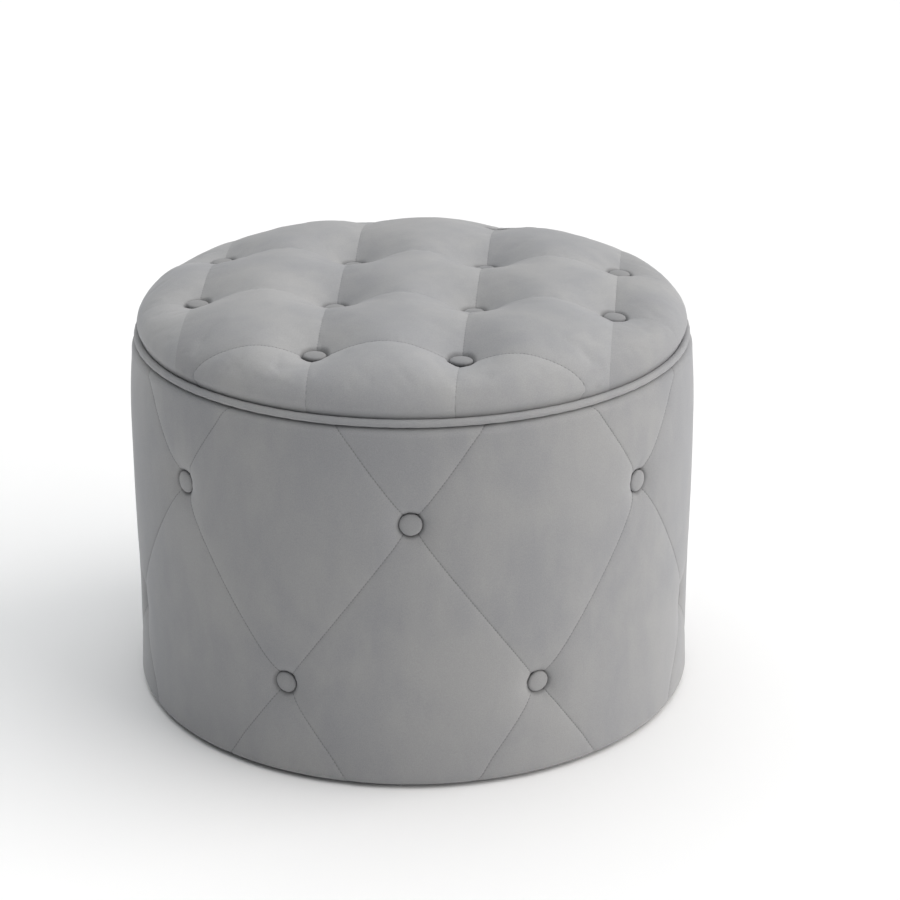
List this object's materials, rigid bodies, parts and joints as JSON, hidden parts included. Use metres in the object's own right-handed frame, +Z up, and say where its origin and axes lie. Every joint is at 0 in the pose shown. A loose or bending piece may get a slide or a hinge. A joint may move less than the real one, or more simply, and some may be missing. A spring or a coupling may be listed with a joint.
{
  "type": "storage ottoman",
  "caption": "Round upholstered storage ottoman: a hollow drum with buttoned diamond panels and a button-tufted lid that lifts off.",
  "frame": {"origin": "on the floor, under the middle of the drum", "axes": "+Z up along the drum's axis, the way the lid lifts; -Y towards the front, the side with a button of the upper row in the middle"},
  "size_m": [0.6, 0.6, 0.45],
  "materials": {
    "velvet_wall": "short-pile grey velvet",
    "velvet_lid": "short-pile grey velvet",
    "velvet_piping": "short-pile grey velvet over a cord",
    "velvet_button": "short-pile grey velvet over a shell",
    "lining": "plain woven lining cloth",
    "dust_cloth": "black spun-bonded non-woven",
    "foam": "open-cell foam and wadding",
    "plywood": "bare birch plywood",
    "softwood": "sawn pine",
    "hardboard": "smooth brown hardboard",
    "glide_plastic": "black moulded plastic",
    "zinc_steel": "zinc-plated steel"
  },
  "bodies": {
    "base": {"base_board": "plywood", "rim_ring": "plywood", "rim_padding": "foam", "inner_wall_panel": "hardboard", "outer_wall_panel": "hardboard", "wall_foam": "foam", "wall_cover": "velvet_wall", "storage_lining": "lining", "base_dust_cover": "dust_cloth", "wall_stud_1": "softwood", "wall_stud_2": "softwood", "wall_stud_3": "softwood", "wall_stud_4": "softwood", "wall_stud_5": "softwood", "wall_stud_6": "softwood", "wall_stud_7": "softwood", "wall_stud_8": "softwood", "foot_glide_1": "glide_plastic", "foot_glide_2": "glide_plastic", "foot_glide_3": "glide_plastic", "foot_glide_4": "glide_plastic", "foot_glide_5": "glide_plastic", "foot_glide_6": "glide_plastic", "side_button_1": "velvet_button", "side_button_2": "velvet_button", "side_button_3": "velvet_button", "side_button_4": "velvet_button", "side_button_5": "velvet_button", "side_button_6": "velvet_button", "side_button_7": "velvet_button", "side_button_8": "velvet_button", "side_button_9": "velvet_button", "side_button_10": "velvet_button", "side_button_11": "velvet_button", "side_button_12": "velvet_button", "side_button_13": "velvet_button", "side_button_14": "velvet_button"},
    "lid": {"lid_board": "plywood", "lid_dust_cover": "dust_cloth", "lid_locating_ring": "plywood", "lid_piping": "velvet_piping", "lid_foam": "foam", "lid_cover": "velvet_lid", "ring_screw_1": "zinc_steel", "ring_screw_2": "zinc_steel", "ring_screw_3": "zinc_steel", "ring_screw_4": "zinc_steel", "lid_button_1": "velvet_button", "lid_button_2": "velvet_button", "lid_button_3": "velvet_button", "lid_button_4": "velvet_button", "lid_button_5": "velvet_button", "lid_button_6": "velvet_button", "lid_button_7": "velvet_button", "lid_button_8": "velvet_button", "lid_button_9": "velvet_button", "lid_button_10": "velvet_button", "lid_button_11": "velvet_button", "lid_button_12": "velvet_button"}
  },
  "joints": [
    {"name": "lid_lift", "type": "slide", "parent": "base", "child": "lid", "axis": [0, 0, 1], "range_m": [0, 0.3]}
  ]
}
